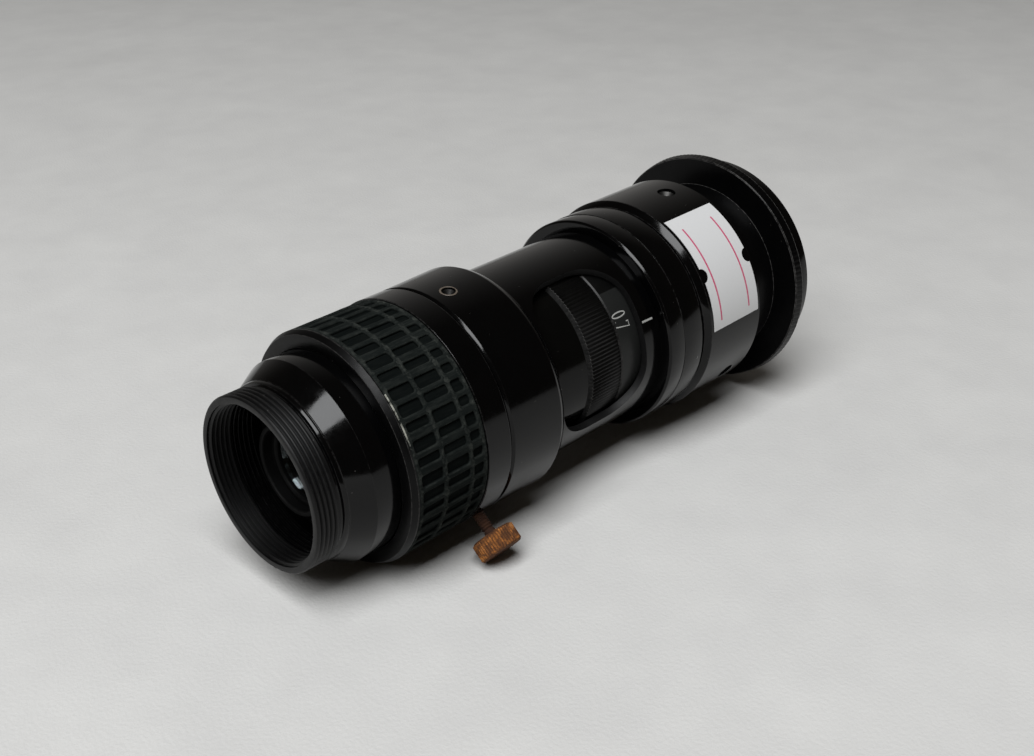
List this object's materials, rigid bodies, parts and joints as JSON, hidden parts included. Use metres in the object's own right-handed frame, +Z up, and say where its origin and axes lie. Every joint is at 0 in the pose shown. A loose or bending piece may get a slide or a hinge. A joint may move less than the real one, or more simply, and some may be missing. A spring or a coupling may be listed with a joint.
{
  "type": "machine camera zoom lens",
  "caption": "Slim zoom lens for a machine camera, with a rubber focus grip, a locking thumbscrew, a zoom ring turned through a side window and a flanged threaded camera end.",
  "frame": {"origin": "on the table under the middle of the lens as it lies, halfway along it and halfway across it", "axes": "+X from the front rim to the camera end, level; +Y away from the side with the window and the label; +Z up; the lens axis lies in an XZ plane and climbs 1.85 degrees towards +X"},
  "size_m": [0.1128, 0.0438, 0.0435],
  "materials": {
    "black_anodised": "glossy black anodised, turned, edges lightly worn",
    "satin_anodised": "satin black anodised",
    "inner_black": "matt black against stray light",
    "grip_rubber": "moulded, with rows of sunk pockets, dusty and scuffed",
    "rusty_steel": "rusted all over, brighter on the teeth",
    "dark_steel": "blackened screw steel",
    "bright_steel": "ground pins",
    "bronze": "plain washer",
    "coated_glass": "polished and coated",
    "label_paper": "white paper with two faint pink lines"
  },
  "bodies": {
    "body": {"focus_sleeve": "inner_black", "focus_barrel": "black_anodised", "barrel_screw": "dark_steel", "zoom_housing": "black_anodised", "guide_tube": "inner_black", "thrust_washer": "bronze", "guide_retainer": "inner_black", "index_ring": "black_anodised", "name_band": "black_anodised", "clamp_barrel": "black_anodised", "clamp_screws": "dark_steel", "price_label": "label_paper", "camera_adapter": "black_anodised", "mount_ring": "black_anodised", "rear_cell": "inner_black", "rear_lens": "coated_glass", "rear_lens_ring": "inner_black"},
    "nose": {"nose_barrel": "black_anodised", "front_cell": "inner_black", "front_lens": "coated_glass", "front_lens_ring": "inner_black", "inner_lens": "coated_glass", "inner_lens_ring": "inner_black", "focus_pin": "bright_steel"},
    "focus": {"focus_ring": "black_anodised", "focus_front_ring": "black_anodised", "focus_grip": "grip_rubber"},
    "lock": {"lock_thumbscrew": "rusty_steel"},
    "zoom": {"zoom_ring": "satin_anodised", "cam_tube": "inner_black"},
    "front_group": {"front_group_cell": "inner_black", "front_group_lens": "coated_glass", "front_group_ring": "inner_black", "front_group_pins": "bright_steel"},
    "rear_group": {"rear_group_cell": "inner_black", "rear_group_lens": "coated_glass", "rear_group_ring": "inner_black", "rear_group_pins": "bright_steel"}
  },
  "joints": [
    {"name": "focus_turn", "type": "hinge", "parent": "body", "child": "focus", "pos_m": [-0.03594, 0.00011, 0.01904], "axis": [0.9995, 0, 0.0323], "range_deg": [-180, 120]},
    {"name": "nose_slide", "type": "slide", "parent": "body", "child": "nose", "axis": [0.9995, 0, 0.0323], "range_m": [-0.0036, 0.0024]},
    {"name": "lock_turn", "type": "hinge", "parent": "focus", "child": "lock", "pos_m": [-0.02672, -0.01516, 0.00643], "axis": [0.0209, -0.7637, -0.6452], "range_deg": [-360, 360]},
    {"name": "zoom_turn", "type": "hinge", "parent": "body", "child": "zoom", "pos_m": [0.00204, 0.00011, 0.02027], "axis": [0.9995, 0, 0.0323], "range_deg": [-150, 0]},
    {"name": "front_group_slide", "type": "slide", "parent": "body", "child": "front_group", "axis": [0.9995, 0, 0.0323], "range_m": [0, 0.008]},
    {"name": "rear_group_slide", "type": "slide", "parent": "body", "child": "rear_group", "axis": [0.9995, 0, 0.0323], "range_m": [-0.005, 0]}
  ],
  "couplings": [
    {"joint": "focus_turn", "follows": "nose_slide", "rad_per_m": 872.66},
    {"joint": "zoom_turn", "follows": "front_group_slide", "rad_per_m": -327.25},
    {"joint": "rear_group_slide", "follows": "front_group_slide", "ratio": -0.625}
  ]
}
